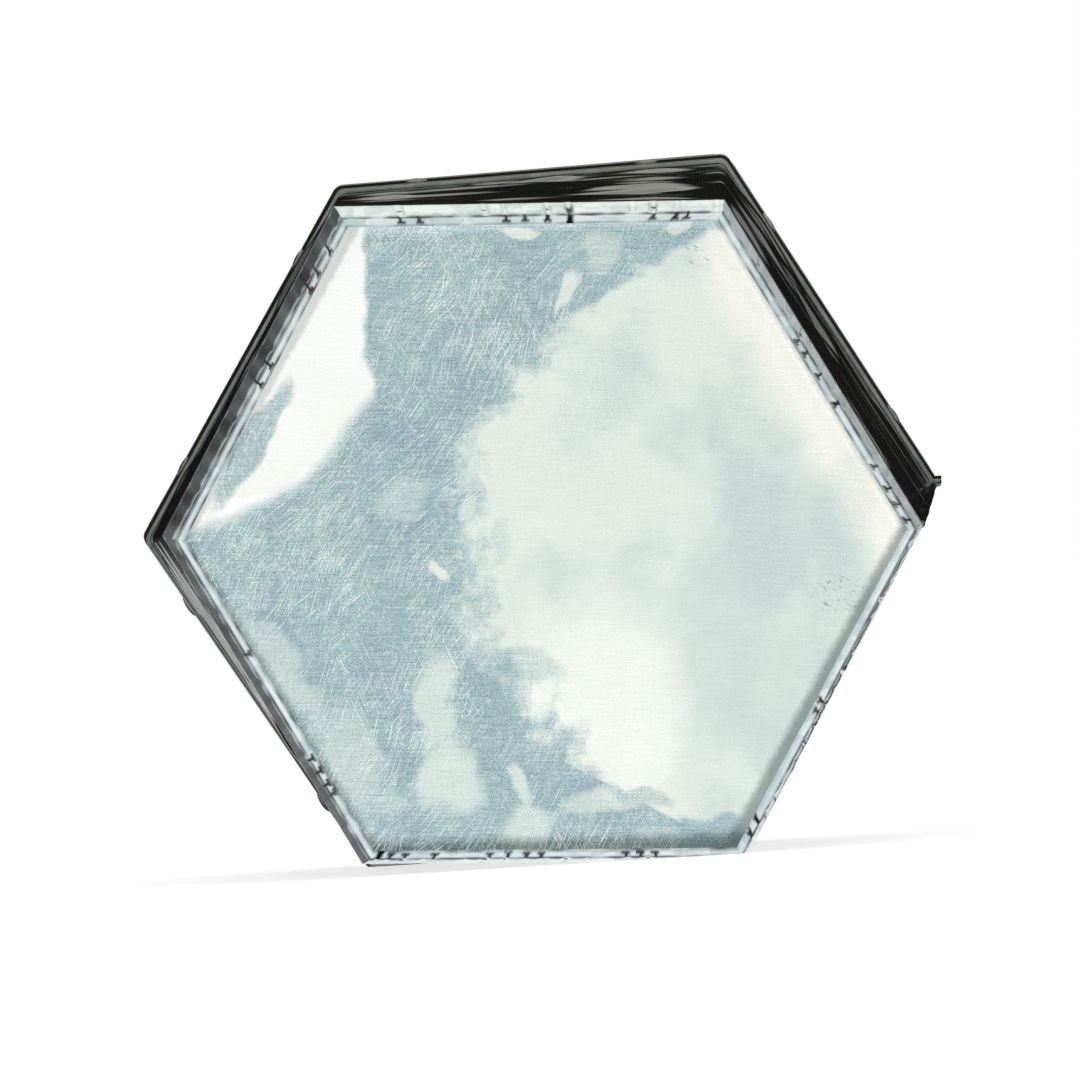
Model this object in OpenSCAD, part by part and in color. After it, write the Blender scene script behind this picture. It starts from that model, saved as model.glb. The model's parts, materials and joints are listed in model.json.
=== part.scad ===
// Six-sided rock tumbler barrel: a tapered sheet-metal shell over a moulded rubber liner, closed at
// its small end by a crimped panel and at its wide end by a plug lid that a wing nut squeezes.
//
// Every module draws the barrel standing on its closed end, with its axis on Z and the closed
// panel at height 0. lay() then tips it onto one flat, as it lies on a bench.

/* [Shell] */
// Across the flats of the closed panel's flat face
face_flats = 186.6; // [150:0.2:240]
// How far the side wrap stands outside that face, at the closed end
face_step = 3.7; // [2.5:0.1:6]
// Length of the side wrap
wrap_length = 166; // [130:1:220]
// Slope of each side, so that the liner slips out of the mouth
draft = 2.75; // [1:0.25:5]
// Thickness of the side wrap's sheet
wrap_sheet = 0.7; // [0.5:0.05:0.75]
// Thickness of the closed panel's sheet
panel_sheet = 0.5; // [0.3:0.05:0.5]
// Thickness of the binding strips round the closed end
binding_sheet = 0.55; // [0.3:0.05:0.55]
// Width of the band round the mouth
band_width = 25; // [15:1:40]
// Height of the standing seam along the corner where the wrap's ends meet
seam_height = 2.4; // [1.5:0.1:3]

/* [Rubber] */
// Wall and floor thickness of the liner
liner_wall = 7; // [4:0.5:10]
// Thickness of the gasket on the mouth's edge
gasket_height = 4.9; // [3:0.1:8]
// Depth of the plug seal below the mouth
seal_depth = 26.2; // [18:0.2:40]
// Gap between the relaxed seal and the liner
seal_gap = 0.35; // [0.3:0.05:1]

/* [Lid] */
// Thickness of the two lid plates
plate_sheet = 2; // [1.5:0.25:3]
// How far the outer plate laps over the mouth gasket
plate_lap = 4; // [2:0.5:7]
// Diameter of the clamp stud
stud_diameter = 9.4; // [7.8:0.1:10]
// Length of the stud past the outer plate's boss
stud_reach = 21; // [20:1:26]
// Span of the wing nut across its wing tips
wing_span = 62; // [50:1:80]

/* [Hidden] */

$fn = 64;
fit = 0.1;                       // clearance between parts that stay together
running_fit = 0.08;              // clearance of the washer and the wing nut on the stud
proud = 1.2;                     // how far the bindings and the band stand off the wrap
panel_skirt = 10;                // height at which the panel's skirt ends
binding_skirt = 12;              // height at which the bindings' skirts end
shoulder = 4.6;                  // height at which the sloping shoulder becomes the skirt
ridge_top = -0.9;                // the bindings' ridge stands this far outside the panel
ridge_width = 2.2;
face = face_flats / 2;
big = 3 * face_flats;

gasket_top = wrap_length + 0.1 + gasket_height;
plate_low = gasket_top + 0.3;
seal_top = plate_low - 0.05;
seal_low = seal_top - seal_depth;
inner_low = seal_low - 0.1 - plate_sheet;
boss_height = 1.6;
boss_radius = 23;
boss_top = plate_low + plate_sheet + boss_height;
rubber_washer = 2;
steel_washer = 2;
washer_low = boss_top + rubber_washer;
nut_low = washer_low + steel_washer;
stud_radius = stud_diameter / 2;
stud_top = boss_top + stud_reach;
head_height = 3;
head_washer_height = 1.5;
hole = stud_radius + fit;
travelling_hole = stud_radius + running_fit;
jam_nut_height = 5;
jam_nut_pocket = 10;
rivet_radius = 2;
rivet_spread = 36;
wing_tip = 8.5;                  // radius of each wing's round tip
wing_tip_height = 14;            // height of that tip's centre above the nut's underside

// The whole barrel, nut and all, is centred over the bench's origin
front_edge = ridge_top * cos(draft) - (face + ridge_width) * sin(draft);
back_edge = (nut_low + wing_tip_height + wing_tip) * cos(draft);
middle = (front_edge + back_edge) / 2;

// Apothem of the wrap's outside, and of the liner's inside, at a height
function wall(height) = face + face_step + height * tan(draft);
function bore(height) = wall(height) - wrap_sheet - fit - liner_wall;

// A bent sheet's outline: the path along its outside, and back along its inside
function unit(v) = v / norm(v);
function inward(v) = [-v[1], v[0]];
function mitre(path, i) =
    let (next = min(i, len(path) - 2), last = max(i - 1, 0))
    let (a = inward(unit(path[last + 1] - path[last])), b = inward(unit(path[next + 1] - path[next])))
    (a + b) / (1 + a * b);
function bent_sheet(path, thickness) =
    concat(path, [for (i = [len(path) - 1 : -1 : 0]) path[i] + thickness * mitre(path, i)]);

// Tips the standing barrel onto one flat, that flat level with the bench
module lay()
    translate([0, -middle, (wall(0) + proud) * cos(draft)]) rotate([draft - 90, 0, 0]) children();

// One side's run of a section drawn as [apothem, height], mitred at both corners
module side_run(section, side, gap = 0)
    rotate([0, 0, side * 60 - 30]) intersection() {
        rotate([90, 0, 0]) linear_extrude(big, center = true) polygon(section);
        translate([0, 0, -big / 2]) linear_extrude(big)
            polygon([[gap, 0], [big, (big - gap) * tan(30)], [big, -(big - gap) * tan(30)]]);
    }

// The section run along all six sides; side 2 is the one that the barrel lies on
module hex_ring(section)
    rotate_extrude($fn = 6) polygon([for (p = section) [p[0] / cos(30), p[1]]]);

// A straight six-sided plate
module hex_plate(apothem, low, thickness)
    translate([0, 0, low]) linear_extrude(thickness) circle(r = apothem / cos(30), $fn = 6);

module drum(radius, low, height)
    translate([0, 0, low]) cylinder(r = radius, h = height);

module washer(outer, inner, low, height)
    difference() {
        drum(outer, low, height);
        drum(inner, low - 1, height + 2);
    }

// Stands its children on the wrap's inside at each rivet: two on every side but the lowest
module at_rivets() {
    height = wrap_length - band_width / 2 + wall(wrap_length) * cos(draft) * sin(draft);
    for (side = [1, 3, 4, 5, 6], across = [-rivet_spread, rivet_spread])
        rotate([0, 0, side * 60 - 30]) translate([0, across, height]) rotate([0, 90 + draft, 0])
            translate([0, 0, wall(height) * cos(draft) - wrap_sheet]) children();
}

module rivet_holes()
    at_rivets() translate([0, 0, -1]) cylinder(r = rivet_radius + fit / 2, h = 5);

// ---- shell ----

module end_panel() color("lightsteelblue") lay()
    hex_ring(bent_sheet([[0, 0], [face, 0], [face + 0.3, fit], [face + 1.7, fit],
                         [wall(shoulder) + proud / 2, shoulder + 0.3],
                         [wall(panel_skirt) + proud / 2, panel_skirt]], panel_sheet));

module edge_binding(side) color("gainsboro") lay()
    side_run(bent_sheet([[face + fit, -0.15], [face + fit, ridge_top],
                         [face + fit + ridge_width, ridge_top],
                         [wall(shoulder) + proud, shoulder],
                         [wall(binding_skirt) + proud, binding_skirt]], binding_sheet), side, 0.6);

module shell_wrap() color("dimgray") lay()
    difference() {
        hex_ring(bent_sheet([[face - 3.3, 0.85], [face + 1.3, 0.85], [wall(5.6), 5.6],
                             [wall(wrap_length), wrap_length]], wrap_sheet));
        rivet_holes();
    }

// The standing seam on the corner at +X, where the wrap's two ends are folded together
module corner_seam() color("gray") lay() {
    low = binding_skirt + 1;
    high = wrap_length - band_width - 1;
    difference() {
        corner_blade(low, high, 2.2, seam_height);
        hex_ring([[0, 0], [wall(0) + fit / 2, 0], [wall(wrap_length) + fit / 2, wrap_length],
                  [0, wrap_length]]);
    }
}

// A flat blade that stands out from the corner at +X by a given reach
module corner_blade(low, high, thickness, reach) {
    corner_low = wall(low) / cos(30);
    corner_high = wall(high) / cos(30);
    rotate([90, 0, 0]) linear_extrude(thickness, center = true)
        polygon([[corner_low - 2, low], [corner_low + reach, low],
                 [corner_high + reach, high], [corner_high - 2, high]]);
}

// The hoop round the mouth; its two ends are turned out side by side on the seam's corner
module rim_band() color("silver") lay() {
    low = wrap_length - band_width;
    difference() {
        union() {
            hex_ring([[wall(low), low], [wall(low) + proud, low],
                      [wall(wrap_length) + proud, wrap_length], [wall(wrap_length), wrap_length]]);
            corner_blade(low, wrap_length, 2.4, 2.4);
        }
        hex_ring([[0, 0], [wall(0) + fit, 0], [wall(wrap_length + 1) + fit, wrap_length + 1],
                  [0, wrap_length + 1]]);
        rivet_holes();
    }
}

module band_rivets() color("whitesmoke") lay()
    at_rivets() {
        shank = wrap_sheet + proud;
        cylinder(r = rivet_radius, h = shank + 0.2);
        translate([0, 0, shank + 0.02]) cylinder(r1 = 3.4, r2 = 2.2, h = 0.9);
    }

// ---- rubber ----

module liner() color("black") lay()
    hex_ring([[0, 1.7], [face - 0.3, 1.7], [wall(7) - wrap_sheet - fit, 7],
              [wall(wrap_length) - wrap_sheet - fit, wrap_length],
              [bore(wrap_length), wrap_length], [bore(1.7 + liner_wall), 1.7 + liner_wall],
              [0, 1.7 + liner_wall]]);

module mouth_gasket() color("black") lay()
    hex_ring([[bore(wrap_length), wrap_length + 0.1],
              [wall(wrap_length) + proud, wrap_length + 0.1],
              [wall(wrap_length) + proud, gasket_top - 1.2],
              [wall(wrap_length) + proud - 1.2, gasket_top],
              [bore(gasket_top) + 0.6, gasket_top], [bore(gasket_top), gasket_top - 0.6]]);

// ---- lid ----

module outer_plate() color("silver") lay() {
    rib_length = 58;
    rib_width = 9;
    difference() {
        union() {
            hex_plate(bore(gasket_top) + plate_lap, plate_low, plate_sheet);
            drum(boss_radius, plate_low, plate_sheet + boss_height);
            translate([0, 0, plate_low]) linear_extrude(plate_sheet + boss_height)
                for (side = [0 : 5]) rotate(side * 60 + 30)
                    translate([boss_radius - 4, 0]) pill(rib_length, rib_width);
        }
        drum(hole, plate_low - 1, plate_sheet + boss_height + 2);
    }
}

// A flat bar with a round far end
module pill(length, width) {
    translate([0, -width / 2]) square([length - width / 2, width]);
    translate([length - width / 2, 0]) circle(width / 2);
}

// A six-sided rubber plug, ribbed round its edge, with a pocket for the nut below it
module lid_seal() color("black") lay() {
    ribs = 3;
    pitch = seal_depth / ribs;
    groove = 2.5;
    edge = [for (i = [0 : ribs - 1], step = [[0, 0], [0.62, 0], [0.74, groove], [0.9, groove]])
        let (height = seal_low + (i + step[0]) * pitch)
        [bore(height) - seal_gap - step[1], height]];
    difference() {
        hex_ring(concat([[hole, seal_low]], edge,
                        [[bore(seal_top) - seal_gap - groove, seal_top], [hole, seal_top]]));
        drum(jam_nut_pocket, seal_low - 1, jam_nut_height + 1.3);
        drum(hole + 0.2, seal_low - 1, seal_depth + 2);
    }
}

module inner_plate() color("silver") lay()
    difference() {
        hex_plate(bore(inner_low) - 4, inner_low, plate_sheet);
        drum(hole, inner_low - 1, plate_sheet + 2);
    }

// Round-headed stud: its head is inside the barrel, below the inner plate
module stud() color("gainsboro") lay() {
    head_top = inner_low - head_washer_height;
    drum(stud_radius, head_top - 0.5, stud_top - head_top + 0.5);
    drum(10, head_top - head_height, head_height);
}

module head_washer() color("black") lay()
    washer(11.5, hole, inner_low - head_washer_height, head_washer_height);

module jam_nut() color("gainsboro") lay()
    difference() {
        hex_plate(7.2, seal_low + fit, jam_nut_height);
        drum(stud_radius + fit / 2, seal_low - 1, jam_nut_height + 3);
    }

module seal_washer() color("black") lay()
    washer(13, hole, boss_top, rubber_washer);

// ---- washer and wing nut, which travel on the stud ----

module nut_washer() color("silver") lay()
    washer(14, travelling_hole, washer_low, steel_washer);

module wing_nut() color("gainsboro") lay() {
    hub_height = 13;
    difference() {
        union() {
            drum(11, nut_low, 3);
            translate([0, 0, nut_low + 3]) cylinder(r1 = 10, r2 = 8, h = hub_height - 3);
            for (turn = [0, 180]) rotate(turn) wing(hub_height);
        }
        drum(travelling_hole, nut_low - 1, hub_height + 20);
    }
}

// One wing: a thick ear, round at its tip, that leans up and out from the hub
module wing(hub_height) {
    thickness = 4.8;
    root = 7;
    tip = [wing_span / 2 - wing_tip, wing_tip_height];
    translate([0, thickness / 2, nut_low]) rotate([90, 0, 0]) linear_extrude(thickness) {
        translate(tip) circle(wing_tip);
        polygon([[root, 2], [root, hub_height - 1],
                 for (a = [126 : -18 : 90]) tip + wing_tip * [cos(a), sin(a)],
                 for (a = [-40 : -15 : -85]) tip + wing_tip * [cos(a), sin(a)]]);
    }
}

end_panel();
shell_wrap();
corner_seam();
rim_band();
band_rivets();
liner();
mouth_gasket();
outer_plate();
lid_seal();
inner_plate();
stud();
head_washer();
jam_nut();
seal_washer();
nut_washer();
wing_nut();
for (side = [1 : 6])
    edge_binding(side);
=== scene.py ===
"""Looks of the six-sided tumbler barrel: sheet metal, rubber and lid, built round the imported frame.

The barrel lies on one flat. Its pieces are modelled standing on the closed end, in a local frame
whose Z is the barrel's axis, and are then laid down into the frame's place.
"""

import json
import math
import random

import bmesh
import bpy
import numpy as np
from bpy.props import FloatProperty, FloatVectorProperty, PointerProperty
from mathutils import Matrix, Vector

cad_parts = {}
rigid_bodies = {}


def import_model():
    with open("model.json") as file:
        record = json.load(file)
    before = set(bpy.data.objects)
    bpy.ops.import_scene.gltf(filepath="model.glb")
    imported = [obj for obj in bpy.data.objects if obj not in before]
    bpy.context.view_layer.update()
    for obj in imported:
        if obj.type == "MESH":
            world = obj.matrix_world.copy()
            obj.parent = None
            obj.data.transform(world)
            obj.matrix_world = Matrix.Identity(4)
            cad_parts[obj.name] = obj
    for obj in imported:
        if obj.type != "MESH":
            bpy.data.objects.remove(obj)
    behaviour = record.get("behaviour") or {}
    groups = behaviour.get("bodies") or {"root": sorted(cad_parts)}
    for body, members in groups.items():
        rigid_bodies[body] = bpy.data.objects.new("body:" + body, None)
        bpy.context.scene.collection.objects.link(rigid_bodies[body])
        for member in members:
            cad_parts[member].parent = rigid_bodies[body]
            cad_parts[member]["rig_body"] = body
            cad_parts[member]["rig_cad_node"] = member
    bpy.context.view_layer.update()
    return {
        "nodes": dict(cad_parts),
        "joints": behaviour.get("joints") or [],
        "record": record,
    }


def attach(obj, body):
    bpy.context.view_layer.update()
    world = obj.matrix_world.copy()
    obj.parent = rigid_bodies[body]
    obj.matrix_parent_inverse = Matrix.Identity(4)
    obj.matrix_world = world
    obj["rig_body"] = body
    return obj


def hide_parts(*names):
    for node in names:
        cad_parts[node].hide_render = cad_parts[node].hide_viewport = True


bl_info = {
    "name": "Tumbler Barrel",
    "version": (1, 0, 0),
    "blender": (4, 5, 0),
    "location": "View3D > Sidebar > Barrel",
    "description": "Builds a crimped sheet-metal tumbler barrel with its liner and plug lid",
    "category": "Add Mesh",
}

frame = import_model()

MM = 0.001
SIDES = 6
SIDE_ANGLE = math.radians(60)
HALF_SIDE = math.radians(30)
COS_HALF = math.cos(HALF_SIDE)

# The barrel's own frame, from the lid's joint and the closed end's mount
AXIS = Vector(next(j["axis"] for j in frame["joints"] if j["name"] == "lid_pull"))
CLOSED_END = Vector(next(m["pos_m"] for m in frame["record"]["mounts"] if m["name"] == "closed_end"))
ACROSS = Vector((1, 0, 0))
LAY = Matrix((ACROSS, AXIS.cross(ACROSS), AXIS)).transposed()
DRAFT = math.atan2(AXIS.z, AXIS.y)
PROUD = 1.2 * MM
WALL_AT_END = CLOSED_END.z / math.cos(DRAFT) - PROUD


def wall(height):
    """Apothem of the wrap's outside at a height above the closed end."""
    return WALL_AT_END + height * math.tan(DRAFT)


def local_box(node):
    """Lowest and highest corner of a CAD node in the barrel's own frame."""
    points = [LAY.transposed() @ (v.co - CLOSED_END) for v in frame["nodes"][node].data.vertices]
    return [min(p[i] for p in points) for i in range(3)], [max(p[i] for p in points) for i in range(3)]


def heights(node):
    low, high = local_box(node)
    return low[2], high[2]


BAND_LOW, BAND_HIGH = heights("rim_band")
SKIRT_END = heights("edge_binding_5")[1]
STUD_LOW, STUD_HIGH = heights("stud")

# How far each corner is knocked out of place: outward in millimetres, and round the axis in degrees.
# The first corner is at +X, and the next ones follow round by way of the side that the barrel lies on.
END_KNOCKS = ((0.0, 2.6), (1.5, 2.0), (-1.0, 2.0), (-0.6, 3.05), (1.5, 1.1), (-0.6, 2.4))
MOUTH_KNOCKS = ((0.2, -1.3), (-1.5, 0.8), (0.8, -0.5), (2.1, 0.1), (-2.5, 1.5), (2.3, 0.6))

SHOULDER_SHIFT = (-0.8, -1.0)    # how far the shoulder is pushed against the ridge, in millimetres
KNOCK_APOTHEM = 95.2             # where the corners' moves are measured, in millimetres
CRIMP_LENGTH = 110.0             # length of one crimped edge, in millimetres
PLUG_FROM = 110.0                # height from which the liner keeps its shape for the lid, in millimetres

# Where the crimping tool pinched each edge, as parts of its length, and how hard. Side 1 runs from
# the first corner to the second, and side 2 is the one that the barrel lies on.
PINCHES = {
    1: ((0.53, 1.0), (0.56, 0.8), (0.90, 1.2), (0.94, 1.0)),
    2: ((0.23, 0.7), (0.27, 0.8), (0.31, 0.7), (0.54, 0.9), (0.58, 0.9), (0.63, 1.1), (0.68, 0.8),
        (0.83, 0.9), (0.91, 0.9), (0.95, 1.0), (0.98, 1.9)),
    3: ((0.20, 0.8), (0.23, 0.9), (0.27, 0.8), (0.31, 0.9), (0.64, 0.8)),
    4: ((0.49, 1.0), (0.55, 0.9), (0.79, 0.9), (0.84, 0.9), (0.91, 1.0)),
    5: ((0.15, 0.7), (0.20, 0.9), (0.43, 0.9), (0.48, 0.9), (0.54, 1.0), (0.60, 2.0), (0.82, 0.9),
        (0.88, 1.0), (0.91, 0.7)),
    6: ((0.40, 0.8), (0.44, 0.9), (0.51, 0.9), (0.60, 1.0), (0.80, 0.8), (0.87, 0.8), (0.92, 0.7),
        (0.97, 0.8)),
}
# Painted shade on the ridge and on the bevel behind it, on each side, 0 to 1
RIDGE_AND_BEVEL_SHADE = {1: (0.30, 0.00), 2: (0.75, 0.00), 3: (0.80, 0.88),
           4: (0.80, 0.95), 5: (0.50, 0.00), 6: (0.70, 0.30)}


# ---- settings ----

def shade(red, green, blue):
    """A colour given on a 0 to 255 scale, as the renderer's linear values."""
    return tuple(round(((c / 255 + 0.055) / 1.055) ** 2.4, 4) for c in (red, green, blue))


def length(name, description, default):
    return FloatProperty(name=name, description=description, default=default, unit="LENGTH", precision=5)


def colour(name, description, default):
    return FloatVectorProperty(name=name, description=description, default=default, subtype="COLOR",
                               min=0, max=1)


class BarrelShell(bpy.types.PropertyGroup):
    face: length("Face", "Apothem of the closed panel's flat face", 93.3 * MM)
    panel_sheet: length("Panel sheet", "Thickness of the closed panel", 0.45 * MM)
    crimp_sheet: length("Crimp sheet", "Thickness of the crimped edge strips", 0.4 * MM)
    wrap_sheet: length("Wrap sheet", "Thickness of the side wrap", 0.6 * MM)
    liner_wall: length("Liner wall", "Thickness of the rubber liner", 7 * MM)
    oil_canning: FloatProperty(name="Oil-canning", description="Strength of the panel's dents",
                               default=1.0, min=0, max=2)
    ripple: length("Ripple", "Height of the waves in the side wrap", 0.5 * MM)


class BarrelLid(bpy.types.PropertyGroup):
    edge: length("Edge", "Radius of the rolled and cut edges", 0.6 * MM)
    thread_pitch: length("Thread pitch", "Advance of the stud's thread in one turn", 1.5 * MM)
    thread_depth: length("Thread depth", "Depth of the stud's thread", 0.75 * MM)


class BarrelFinish(bpy.types.PropertyGroup):
    # The panel's tarnish and bare tones are real zinc tones, and partly painted reflections of the studio
    tarnish_and_reflection: colour("Tarnish", "The closed panel's blue-grey film", shade(160, 187, 191))
    bare_and_reflection: colour("Bare", "The closed panel where it is clean", shade(228, 237, 229))
    # The bright tone is a painted highlight: the reflection of a soft light on the tilted wedge
    bright: colour("Bright", "The closed panel where it is burnished", shade(250, 252, 248))
    crimp: colour("Crimp", "The crimped edges", shade(226, 236, 238))
    wrap: colour("Wrap", "The side wrap", shade(112, 118, 116))
    band: colour("Band", "The hoop round the mouth", shade(122, 127, 123))
    plate: colour("Plate", "The lid's plates", shade(196, 200, 198))
    hardware: colour("Hardware", "Zinc-plated stud, nuts and washer", shade(205, 207, 202))
    rubber: colour("Rubber", "Liner, gasket and seal", shade(38, 38, 39))


class BarrelStage(bpy.types.PropertyGroup):
    distance: length("Distance", "From the camera to the closed end", 4.0)
    camera_height: length("Camera height", "Camera above the bench", 0.085)
    field: length("Field", "Width of the picture at the closed end", 1080 * 0.2978 * MM)
    roll: FloatProperty(name="Roll", description="How far the camera is tipped on its side",
                        default=math.radians(3.6), subtype="ANGLE")
    floor: length("Floor", "Half the width of the floor", 30.0)


# ---- shader arithmetic ----

class Value:
    """An output socket; Python's operators on it add Math nodes."""

    def __init__(self, nodes, socket):
        self.nodes = nodes
        self.socket = socket

    def math(self, operation, *terms):
        return self.nodes.add("ShaderNodeMath", {"operation": operation}, terms)

    def __add__(self, other):
        return self.math("ADD", self, other)

    def __sub__(self, other):
        return self.math("SUBTRACT", self, other)

    def __rsub__(self, other):
        return self.math("SUBTRACT", other, self)

    def __mul__(self, other):
        return self.math("MULTIPLY", self, other)

    def __truediv__(self, other):
        return self.math("DIVIDE", self, other)

    def __pow__(self, other):
        return self.math("POWER", self, other)

    def __abs__(self):
        return self.math("ABSOLUTE", self)

    __radd__ = __add__
    __rmul__ = __mul__

    def least(self, other):
        return self.math("MINIMUM", self, other)

    def most(self, other):
        return self.math("MAXIMUM", self, other)

    def step(self, low, high):
        """0 below low, 1 above high, and a soft slope between them; low may be the larger."""
        return self.nodes.add("ShaderNodeMapRange", {"interpolation_type": "SMOOTHSTEP"},
                              (self, low, high, 0, 1))


class Nodes:
    """A node tree with one method that adds any node, and the patterns that the finishes share."""

    def __init__(self, tree):
        self.tree = tree

    def add(self, kind, settings=None, sockets=(), output=0):
        node = self.tree.nodes.new(kind)
        for name, value in (settings or {}).items():
            setattr(node, name, value)
        pairs = sockets.items() if isinstance(sockets, dict) else enumerate(sockets)
        for key, value in pairs:
            self.put(node.inputs[key], value)
        return Value(self, node.outputs[output])

    def put(self, socket, value):
        if isinstance(value, Value):
            self.tree.links.new(value.socket, socket)
        else:
            socket.default_value = value

    def mix(self, low, high, factor, blend="MIX"):
        """A colour between two, or the second blended onto the first."""
        return self.add("ShaderNodeMix", {"data_type": "RGBA", "blend_type": blend},
                        {0: factor, 6: rgba(low), 7: rgba(high)}, output=2)

    def vector(self, x, y, z=0.0):
        return self.add("ShaderNodeCombineXYZ", None, (x, y, z))

    def split(self, vector):
        return [self.add("ShaderNodeSeparateXYZ", None, (vector,), output=i) for i in range(3)]

    def place(self):
        """Where a point is in the frame, in millimetres."""
        position = self.add("ShaderNodeTexCoord", None, (), output="Object")
        return self.add("ShaderNodeVectorMath", {"operation": "SCALE"}, {0: position, "Scale": 1000.0})

    def noise(self, vector, size, detail=2.0, roughness=0.5, bend=0.0):
        """Cloudy noise from 0 to 1, whose lumps are about a size in the vector's units."""
        return self.add("ShaderNodeTexNoise", {"noise_dimensions": "3D"},
                        {"Vector": vector, "Scale": 1 / size, "Detail": detail,
                         "Roughness": roughness, "Distortion": bend})

    def cells(self, vector, size):
        """One random number from 0 to 1 for each cell of a size."""
        colour_out = self.add("ShaderNodeTexVoronoi", None, {"Vector": vector, "Scale": 1 / size},
                              output="Color")
        return self.add("ShaderNodeSeparateColor", None, (colour_out,))

    def stretched(self, u, v, turn, along, across):
        """Coordinates for a pattern that runs at an angle, long one way and narrow the other."""
        cos, sin = math.cos(turn), math.sin(turn)
        return self.vector((u * cos + v * sin) / along, (v * cos - u * sin) / across)

    def bump(self, height, distance, strength=1.0):
        return self.add("ShaderNodeBump", None,
                        {"Strength": strength, "Distance": distance, "Height": height})


def rgba(value):
    return value if isinstance(value, Value) or len(value) == 4 else (*value, 1.0)


class Finish(Nodes):
    """A new material, with its one shader."""

    def __init__(self, name):
        self.material = bpy.data.materials.new(name)
        self.material.use_nodes = True
        super().__init__(self.material.node_tree)
        self.shader = self.tree.nodes["Principled BSDF"]

    def set(self, **values):
        """Sets the shader's sockets by name, with _ for a space."""
        for name, value in values.items():
            self.put(self.shader.inputs[name.replace("_", " ").title()], rgba(value)
                     if name == "base_color" else value)
        return self.material


# ---- where things are on the closed panel ----
# Across and up on the sheet, in millimetres from its middle, turned with its rolling grain.

# Edge of the clean part, whose light tone is partly painted reflection, from the top of the sheet round by
# the left to the end of the crease
CLEAN_EDGE = ((52.7, 92.8), (7.4, 64.5), (-25.3, 22.8), (-17.9, -30.8), (13.4, -71.0), (58.4, -94.8))
# Lines that bound the buckled wedge on the left, from its foot up to the top edge
WEDGE_EDGE = ((-112.0, -1.0), (-76.0, 11.5), (-50.5, 43.0), (-54.5, 95.0))
# Small pushed-out dents: place, radius and height
DENTS = (((-31, -10), 5.0, 0.30), ((-24, 9), 4.5, 0.25), ((-3, 7), 3.5, 0.20), ((-7, 90), 5.0, 0.35),
         ((39, 92), 3.5, 0.40), ((9, 72), 4.0, 0.30), ((-43, 14), 6.0, 0.20), ((-10, -74), 5.0, 0.30),
         ((-7, -88), 7.0, 0.35), ((20, -80), 8.0, 0.25), ((54, -86), 6.0, -0.35), ((-20, -26), 6.0, 0.2))
# Lighter clouds in the tarnish, partly painted reflection: place, half-lengths, turn in degrees and strength
CLOUDS = (((-32, -50), (5.5, 15), 3, 0.7), ((-28, -72), (10, 12), 0, 0.75), ((-80, -40), (7, 22), 38, 0.45),
          ((-57, -68), (8, 19), 10, 0.4), ((-6, -87), (8, 7), 0, 0.7), ((19, -79), (15, 5), 5, 0.65),
          ((-9, -74), (2.6, 7), 10, 0.75), ((30, -92), (16, 4), 3, 0.5), ((-31, -10), (4.5, 2.6), -35, 0.95),
          ((-24, 8), (3.0, 3.4), 0, 0.7), ((-3, 8), (3, 3.5), 0, 0.45), ((-42, 12), (10, 5), 30, 0.35),
          ((-7, 91), (6.0, 2.0), 0, 0.95), ((39.5, 92.5), (3.4, 2.4), 0, 1.0), ((8, 73), (2, 6), -14, 0.95),
          ((16, 84), (5, 7), -20, 0.45), ((-45, -81), (6, 4), 0, 0.35), ((-20, -28), (6, 10), 20, 0.4))
# Deeper blue-grey shadows inside the clean part
SHADOWS = (((-21, 13), (3.4, 5.5), 20, 0.45), ((50, -87), (9, 4.5), -8, 0.85),
           ((28, -78), (10, 3.2), -22, 0.6),
           ((-8, -37), (15, 4.5), -14, 0.45), ((62, 8), (10, 34), 12, 0.16), ((18, 44), (12, 22), -30, 0.14),
           ((86, 2), (8, 30), -24, 0.14), ((-12, -2), (4, 6), 10, 0.25))
# Painted shade and painted highlights in soft bands along the panel's rim, where it rolls over: side, width,
# how strong, and whether they are dark
RIM_BANDS = ((2, 6.0, 0.80, True), (1, 4.0, 0.60, True), (3, 4.5, 0.60, True), (5, 4.0, 0.40, False),
             (6, 2.5, 0.35, True), (4, 2.2, 0.35, True))
PANEL_RIM = 93.6                 # apothem of the panel's rim, in millimetres
RIM_TWIST = 2.2                  # how far the panel's rim is turned against the barrel, in degrees


def beyond(u, v, line):
    """How far a place is to the left of a line drawn from one point to another."""
    (start_u, start_v), (end_u, end_v) = line
    reach = math.hypot(end_u - start_u, end_v - start_v)
    return ((v - start_v) * (end_u - start_u) - (u - start_u) * (end_v - start_v)) / reach


def oval(u, v, centre, radii, turn):
    """0 at the middle of an oval and 1 on its edge, squared."""
    cos, sin = math.cos(math.radians(turn)), math.sin(math.radians(turn))
    du, dv = u - centre[0], v - centre[1]
    along, across = (du * cos + dv * sin) / radii[0], (dv * cos - du * sin) / radii[1]
    return along * along + across * across


def from_side(u, v, side, roll):
    """How far a place on the panel is inside one of its edges."""
    angle = math.radians(-(side - 0.5) * 60 - RIM_TWIST) + roll
    return PANEL_RIM - u * math.cos(angle) - v * math.sin(angle)


def settings(group):
    return getattr(bpy.context.scene, group)


# ---- finishes ----

def scratches(nodes, u, v, turn, seed, spread, keep):
    """Fine straight scratches that run one way, gathered in drifts."""
    drift = nodes.noise(nodes.vector(u, v, seed), spread, 2.0)
    bent = nodes.noise(nodes.vector(u, v, seed + 7.0), 50.0, 1.0) * 9.0
    line = nodes.noise(nodes.stretched(u + bent, v, turn, 15.0, 0.27), 1.0, 0.5)
    return line.step(keep, keep + 0.07) * drift.step(0.42, 0.62)


def gathered(nodes, u, v, ragged, places):
    """The strongest of a list of soft clouds at each point."""
    total = None
    for centre, radii, angle, strength in places:
        cloud = (oval(u, v, centre, radii, angle) + ragged * 1.1).step(1.5, 0.35) * strength
        total = cloud if total is None else total.most(cloud)
    return total


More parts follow.
